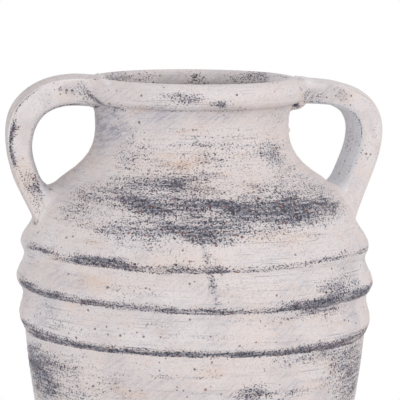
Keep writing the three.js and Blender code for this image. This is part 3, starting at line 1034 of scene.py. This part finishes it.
def pulled_strap(vase, index):
    """A bmesh of a strap, drawn out ring by ring along its middle line."""
    straps = vase.straps
    side = (-1, 1)[index]
    line = strap_line(vase, index)
    bm = bmesh.new()
    marks = layers(bm)
    turn = bm.verts.layers.float.new("turn")
    ring = bmesh.ops.create_circle(bm, segments=STRAP_RING, radius=1.0)["verts"]
    for vert in ring:
        vert[turn] = math.atan2(vert.co.y, vert.co.x)
    edges = list(bm.edges)
    turned = Matrix.Rotation(side * straps.sweep[index], 4, "Z")
    last = len(line) - 1
    cut = vase.wall.neck_radius - vase.rim.crest_in - straps.root_cut
    first = next(step for step, centre in enumerate(line) if centre.x > cut)
    for step, centre in enumerate(line[first:], first):
        share = step / last
        if step > first:
            drawn = bmesh.ops.extrude_edge_only(bm, edges=edges)["geom"]
            ring = [item for item in drawn if isinstance(item, bmesh.types.BMVert)]
            edges = [item for item in drawn if isinstance(item, bmesh.types.BMEdge) and item.is_boundary]
        along = line[min(last, step + 1)] - line[max(0, step - 1)]
        along.normalize()
        outward = Vector((side * -along.y, 0, along.x))
        root = ramp(share, straps.taper_to[index], straps.taper_from[index])
        thicker = (straps.root_thickness[index] - straps.thickness[index]) * root
        thick = (straps.thickness[index] + thicker) / 2
        wide = (straps.width + straps.foot_splay * ramp(share, straps.splay_from, 1)) / 2
        for vert in ring:
            c = math.cos(vert[turn])
            s = math.sin(vert[turn])
            power = STRAP_EDGES[index][0 if c > 0 else 1]
            out = math.copysign(abs(c) ** (2 / power), c) * thick
            across = math.copysign(abs(s) ** (2 / power), s) * wide
            middle = Vector((side * centre.x, 0, centre.y))
            point = middle + outward * out + Vector((0, across, 0))
            uneven = noise.noise(point * 22) * 0.8 + noise.noise(point * 60) * 0.3
            point += outward * (vase.hand.lumps * uneven * (1 if c > 0 else -0.5))
            arris = ramp(abs(turn_apart(math.degrees(vert[turn]), STRAP_ARRIS)), 9, 2) if index == 0 else 0.0
            arris *= ramp(share, 0.08, 0.16) * ramp(share, 0.62, 0.5)
            point += (outward - Vector((0, 1, 0))) * arris * straps.arris
            vert.co = thrown(vase, turned @ point)
            outside = ramp(c, 0.5, 0.9)
            vert[marks["lay"]] = (share * last * STRAP_STEP, out, across)
            vert[marks["wear"]] = strap_wear(index, share, vert[turn], point)
            vert[marks["thin"]] = STRAP_THIN[index] * max(ramp(c, -0.2, -0.7), outside)
            # Painted light: the inner faces get the pale cool tint of the light in the strap's shade
            vert[marks["cold"]] = STRAP_PAINTED_COOL_SHADE[index] * ramp(c, -0.2, -0.75)
            iron = ramp(noise.noise(point * 48 + Vector((0, 5, 0))), 0.0, 0.4)
            vert[marks["ochre"]] = max(0.4 * iron * ramp(c, -0.5, 0), STRAP_OCHRE[index] * outside)
            # Fresh wash along the left strap's arris is a painted highlight; the rest of the strap gets a
            # little of it
            vert[marks["smear"]] = max(arris, 0.2)
    bmesh.ops.holes_fill(bm, edges=[edge for edge in bm.edges if edge.is_boundary], sides=0)
    bmesh.ops.recalc_face_normals(bm, faces=bm.faces)
    return bm


class VASE_OT_straps(bpy.types.Operator):
    """Pulls the two strap handles, from the rim down to the shoulder."""

    bl_idname = "vase.straps"
    bl_label = "Strap Handles"

    def execute(self, context):
        vase = context.scene.vase
        for index, node in enumerate(STRAP_NODES):
            piece = finished(pulled_strap(vase, index), ("LeftStrap", "RightStrap")[index])
            joined_to_vase(piece, node, limewashed_clay(vase, "limewashed terracotta"))
        return {"FINISHED"}


class VASE_OT_luting_lump(bpy.types.Operator):
    """Presses the lump of luting clay into the corner under the right handle."""

    bl_idname = "vase.luting_lump"
    bl_label = "Luting Lump"

    def execute(self, context):
        vase = context.scene.vase
        lump = vase.lump
        out = vase.wall.neck_radius + lump.out
        front = out * math.tan(vase.straps.sweep[1]) - vase.straps.width / 2
        centre = Vector((out, front + lump.tuck, neck_top(vase) - vase.rim.overlap - lump.drop))
        tilted = Matrix.Rotation(-lump.tilt, 3, "Y")
        bm = bmesh.new()
        marks = layers(bm)
        bmesh.ops.create_icosphere(bm, subdivisions=5, radius=1.0)
        for vert in bm.verts:
            squeezed = 1 + 0.18 * noise.noise(vert.co * 1.6)
            local = Vector([vert.co[i] * lump.radii[i] for i in range(3)]) * squeezed
            vert.co = thrown(vase, centre + tilted @ local)
            vert[marks["lay"]] = vert.co
            vert[marks["wear"]] = 0.25
        piece = finished(bm, "LutingLump")
        joined_to_vase(piece, "luting_wad", limewashed_clay(vase, "limewashed terracotta"))
        return {"FINISHED"}


FEET = 40 * MM  # how far below the top of the neck the joints of the straps' feet begin
# The creases between pieces are darkened out to this distance: stain, and painted shade in the crease.
CREASE_STAIN_AND_SHADE_REACH = 2.2 * MM  # how far from a crease stain is left in it

# The pairs of pieces that clay is smeared over, the upper piece first.
JOINTS = (
    ("LeftStrap", "RolledRim"),
    ("LeftStrap", "UpperSection"),
    ("RightStrap", "RolledRim"),
    ("RightStrap", "UpperSection"),
    ("LutingLump", "RolledRim"),
    ("LutingLump", "UpperSection"),
    ("LutingLump", "RightStrap"),
    ("RolledRim", "UpperSection"),
)


def smear_reach(vase, pair, point, normal):
    """How far the clay of a joint is smeared at a point of the upper piece, whose surface faces normal."""
    hand = vase.hand
    if pair[0] == "RolledRim":
        return hand.lap
    if pair[0] == "LutingLump":
        return hand.lump_smear
    if point.z < neck_top(vase) - FEET:
        inside = ramp(normal.x * math.copysign(1, point.x), 0.2, -0.5)
        return hand.foot_smear[0] + (hand.foot_smear[1] - hand.foot_smear[0]) * inside
    side_smear = hand.side_smear[pair[0] == "RightStrap"]
    beside = hand.crease + (side_smear - hand.crease) * ramp(normal.z, -0.6, -0.1)
    return beside + (hand.smear - side_smear) * ramp(normal.z, 0.2, 0.8)


def rise(gap, reach, meeting):
    """How far a smear lifts a surface, a gap outside (or inside, if negative) the piece that it meets."""
    if gap >= reach:
        return 0.0
    if gap < 0:
        return meeting * reach / 2 * ramp(gap, -1.5 * MM, 0)
    if gap < reach / 4:
        return meeting * (reach / 2 - gap)
    return meeting * reach * (1 - math.sqrt(gap / reach)) ** 2


def box_of(piece, margin):
    """The lowest and the highest corner of a piece's box, grown by a margin."""
    corners = [Vector(corner) for corner in piece.bound_box]
    low = Vector([min(corner[i] for corner in corners) - margin for i in range(3)])
    high = Vector([max(corner[i] for corner in corners) + margin for i in range(3)])
    return low, high


def smear_over(vase, pair, piece, other, tree, smears):
    """Notes for each vertex of a piece how far the clay of its joint with another lifts and covers it."""
    furthest = max(vase.hand.smear, *vase.hand.foot_smear)
    low, high = box_of(other, furthest)
    for vert in piece.data.vertices:
        point = vert.co
        if any(not low[i] < point[i] < high[i] for i in range(3)):
            continue
        near, facing, _, distance = tree.find_nearest(point, furthest)
        if near is None:
            continue
        gap = distance if (point - near).dot(facing) > 0 else -distance
        upper = (point, vert.normal) if piece.name == pair[0] else (near, facing)
        meeting = min(1.0, max(0.0, 1 - vert.normal.dot(facing)))
        reach = smear_reach(vase, pair, *upper) * ramp(meeting, 0.1, 0.6)
        if reach < 0.1 * MM:
            continue
        lift, covered_and_highlit, crease = smears.get(vert.index, (0.0, 0.0, 0.0))
        lift = max(lift, rise(gap, reach, meeting))
        # The fresh wash is laid more where the joint faces up, which partly paints a highlight on the joints'
        # tops
        clean = 0.5 if point.z < neck_top(vase) - FEET else 0.7 * ramp(upper[1].z, 0.3, 0.8)
        if pair[0] != "RolledRim":
            covered_and_highlit = max(covered_and_highlit, clean * ramp(gap, reach * 1.2, reach * 0.3) * ramp(reach, 5 * MM, 9 * MM))
        # Darkening of the crease where two pieces meet: stain, and painted shade.
        crease = max(crease, ramp(reach, 8 * MM, 6 * MM) * ramp(gap, CREASE_STAIN_AND_SHADE_REACH, 0.4 * MM))
        smears[vert.index] = (lift, covered_and_highlit, crease)


# Strokes over the joints: what they leave, half the width, how strong, and the points they run through, in
# millimetres. The dark ones are creases left open, darkened with stain and with painted shade; the others are
# wet clay wiped on, and the smear strokes among them also paint highlights along the rim's crest at the left
# root and by the straps' feet.
STROKES = [
    ("wear", 2.2, 0.8, [(-88.5, -19, 411), (-87, -20, 409), (-83, -29, 405), (-79, -34, 402.5)]),
    ("wear", 2.0, 0.32, [(-79, -34, 402.5), (-74, -38, 401), (-68, -41, 400)]),
    ("thin", 6, 0.6, [(-92, -17, 414), (-103, -17, 413)]),
    ("wear", 1.6, 0.4, [(77, -42, 413), (80, -33, 409), (82, -31, 404)]),
    ("wear", 2.4, 0.85, [(78, -21, 397), (80, -20, 396)]),
    ("wear", 4.5, 0.36, [(87, -15, 404), (93, -14, 402), (100, -14, 403)]),
    ("thin", 7, 0.6, [(90, -14, 405), (104, -14, 404), (112, -14, 406)]),
    ("smear", 2.0, 1.0, [(-115, -8, 331), (-120, -14, 325), (-124, -16, 319), (-129, -16, 313)]),
    ("smear", 2.0, 1.0, [(-71, 24, 420), (-75, 4, 421), (-76, -23, 420), (-75, -37, 418)]),
    ("smear", 2.5, 0.8, [(84, -12, 350), (93, -10, 342), (102, -8, 334)]),
]


def along_stroke(point, stroke):
    """How much of a stroke reaches a point: 1 in its middle and 0 beside it, ragged."""
    _, half_width, strength, corners = stroke
    nearest = min(
        (point - nearest_on_line(point, a, b)).length for a, b in zip(corners, corners[1:])
    )
    ragged = half_width * MM * (1 + 0.5 * noise.noise(point * 150))
    return strength * ramp(nearest, ragged * 1.5, ragged * 0.4)


def nearest_on_line(point, a, b):
    """The point of the line from a to b that is nearest to a point."""
    along = b - a
    share = (point - a).dot(along) / along.length_squared
    return a + along * min(1.0, max(0.0, share))


def stroke_over(mesh):
    """Draws the strokes on a piece."""
    for kind, half_width, strength, points in STROKES:
        corners = [Vector(point) * MM for point in points]
        margin = 3 * half_width * MM
        low = [min(corner[i] for corner in corners) - margin for i in range(3)]
        high = [max(corner[i] for corner in corners) + margin for i in range(3)]
        values = mesh.attributes[kind].data
        for vert in mesh.vertices:
            if all(low[i] < vert.co[i] < high[i] for i in range(3)):
                drawn = along_stroke(vert.co, (kind, half_width, strength, corners))
                values[vert.index].value = max(values[vert.index].value, drawn)


class VASE_OT_smeared_joints(bpy.types.Operator):
    """Smears the clay over each joint, so that the pieces run into each other."""

    bl_idname = "vase.smeared_joints"
    bl_label = "Smeared Joints"

    def execute(self, context):
        vase = context.scene.vase
        pieces = {name: bpy.data.objects[name] for pair in JOINTS for name in pair}
        trees = {}
        for name, piece in pieces.items():
            points = [vert.co.copy() for vert in piece.data.vertices]
            # The straps' end caps are buried and left out: each is one face with many corners
            skin = [list(face.vertices) for face in piece.data.polygons if len(face.vertices) < 5]
            trees[name] = BVHTree.FromPolygons(points, skin)
        smears = {name: {} for name in pieces}
        for pair in JOINTS:
            for name, other in (pair, pair[::-1]):
                smear_over(vase, pair, pieces[name], pieces[other], trees[other], smears[name])
        for name, piece in pieces.items():
            mesh = piece.data
            moves = {i: mesh.vertices[i].normal * smears[name][i][0] for i in smears[name]}
            for i, (_, covered_and_highlit, crease) in smears[name].items():
                mesh.vertices[i].co += moves[i]
                smear = mesh.attributes["smear"].data[i]
                smear.value = max(smear.value, covered_and_highlit)
                wear = mesh.attributes["wear"].data[i]
                # The crease is darkened with the stain's specks: stain, and painted shade in the crease.
                ragged = ramp(noise.noise(mesh.vertices[i].co * 45), -0.25, 0.3)
                wear.value = max(wear.value, 0.45 * crease * ragged)
            stroke_over(mesh)
            mesh.update()
        return {"FINISHED"}


# Lamps: name, place, size and power. They are turned to a point in the vase.
LAMPS = (
    ("key", (2.7, -1.6, 1.9), 2.4, 28),
    ("fill", (-1.7, -2.6, 0.9), 2.2, 23),
)
LAMP_AIM = (0, 0, 0.25)
CAMERA_LENS = 261  # millimetres, as the sensor is: the frame is 0.32 m wide at the vase
CAMERA_SENSOR = 36
CAMERA_PLACE = (-0.4351, -2.2613, 0.6030)  # 11 degrees left of the front, 7 degrees above the level
CAMERA_AIM = (0.0043, -0.0008, 0.3210)
FLOOR_RADIUS = 30.0  # metres, as far as the camera sees it


class VASE_OT_stage(bpy.types.Operator):
    """Sets the floor, the lamps, the world and the camera."""

    bl_idname = "vase.stage"
    bl_label = "Stage"

    def execute(self, context):
        scene = context.scene
        bm = bmesh.new()
        bmesh.ops.create_circle(bm, cap_ends=True, segments=96, radius=FLOOR_RADIUS)
        floor = finished(bm, "StudioFloor")
        floor.data.materials.append(studio_floor())
        for lamp in LAMPS:
            add_lamp(*lamp)
        scene.world = studio_world()
        camera = bpy.data.cameras.new("Camera")
        camera.lens = CAMERA_LENS
        camera.sensor_width = CAMERA_SENSOR
        camera.clip_end = 100
        holder = bpy.data.objects.new("Camera", camera)
        scene.collection.objects.link(holder)
        holder.location = CAMERA_PLACE
        holder.rotation_euler = (Vector(CAMERA_AIM) - holder.location).to_track_quat("-Z", "Y").to_euler()
        scene.camera = holder
        scene.view_settings.view_transform = "Standard"
        return {"FINISHED"}


def add_lamp(name, location, size, power):
    """A square soft lamp, a little warm, turned to the vase's middle."""
    lamp = bpy.data.lights.new(name, "AREA")
    lamp.size = size
    lamp.energy = power
    lamp.color = linear("#fffaf5")[:3]
    holder = bpy.data.objects.new(name, lamp)
    bpy.context.scene.collection.objects.link(holder)
    holder.location = location
    holder.rotation_euler = (Vector(LAMP_AIM) - holder.location).to_track_quat("-Z", "Y").to_euler()


def seen_white(tree):
    """1 for rays that show the background: camera, glossy and transmission rays."""
    node = partial(add_node, tree)
    rays = node("LightPath").node.outputs
    seen = node("Math", rays["Is Camera Ray"], rays["Is Glossy Ray"], operation="MAXIMUM")
    return node("Math", seen, rays["Is Transmission Ray"], operation="MAXIMUM")


def studio_floor():
    """Matt white paint near the vase, where its shadow falls, and plain white further off."""
    material = bpy.data.materials.new("matt white paint")
    material.use_nodes = True
    material.node_tree.nodes.clear()
    node = partial(add_node, material.node_tree)
    distance = node("VectorMath", node("TexCoord", output="Object"), operation="LENGTH")
    far = node("MapRange", distance, 0.25, 0.6, **SMOOTH)
    share = node("Math", far, seen_white(material.node_tree), operation="MULTIPLY")
    paint = node("BsdfDiffuse", linear("#f4f4f4"))
    glow = node("Emission", linear("#ffffff"), 1.0)
    node("OutputMaterial", node("MixShader", share, paint, glow))
    return material


def studio_world():
    """Soft even light, a little cool, seen as plain white."""
    world = bpy.data.worlds.new("studio")
    world.use_nodes = True
    world.node_tree.nodes.clear()
    node = partial(add_node, world.node_tree)
    light = node("Background", linear("#f6f9ff"), 0.76)
    white = node("Background", linear("#ffffff"), 1.0)
    node("OutputWorld", node("MixShader", seen_white(world.node_tree), light, white))
    return world


class VASE_PT_panel(bpy.types.Panel):
    """Lists the vase's makers in the sidebar."""

    bl_idname = "VASE_PT_panel"
    bl_label = "Terracotta Vase"
    bl_space_type = "VIEW_3D"
    bl_region_type = "UI"
    bl_category = "Vase"

    def draw(self, context):
        for operator in OPERATORS:
            self.layout.operator(operator.bl_idname)
        for group in ("wall", "ridges", "rim", "straps", "lump", "hand", "colours"):
            settings = getattr(context.scene.vase, group)
            box = self.layout.box()
            box.label(text=group.capitalize())
            for name in settings.__annotations__:
                box.prop(settings, name)


GROUPS = (WallSizes, RidgeSizes, RimSizes, StrapSizes, LumpSizes, HandWork, WashColours, VaseSettings)
OPERATORS = (
    VASE_OT_lower_section,
    VASE_OT_upper_section,
    VASE_OT_rolled_rim,
    VASE_OT_straps,
    VASE_OT_luting_lump,
    VASE_OT_smeared_joints,
    VASE_OT_stage,
)


def register():
    """Adds the settings, the operators and the panel to Blender."""
    for group in GROUPS:
        bpy.utils.register_class(group)
    bpy.types.Scene.vase = PointerProperty(type=VaseSettings)
    for operator in OPERATORS:
        bpy.utils.register_class(operator)
    bpy.utils.register_class(VASE_PT_panel)


def unregister():
    """Takes them out again."""
    bpy.utils.unregister_class(VASE_PT_panel)
    for operator in reversed(OPERATORS):
        bpy.utils.unregister_class(operator)
    del bpy.types.Scene.vase
    for group in reversed(GROUPS):
        bpy.utils.unregister_class(group)


def main():
    """Builds the vase and its stage."""
    register()
    bpy.ops.vase.lower_section()
    bpy.ops.vase.upper_section()
    bpy.ops.vase.rolled_rim()
    bpy.ops.vase.straps()
    bpy.ops.vase.luting_lump()
    bpy.ops.vase.smeared_joints()
    bpy.ops.vase.stage()


if __name__ == "__main__":
    main()
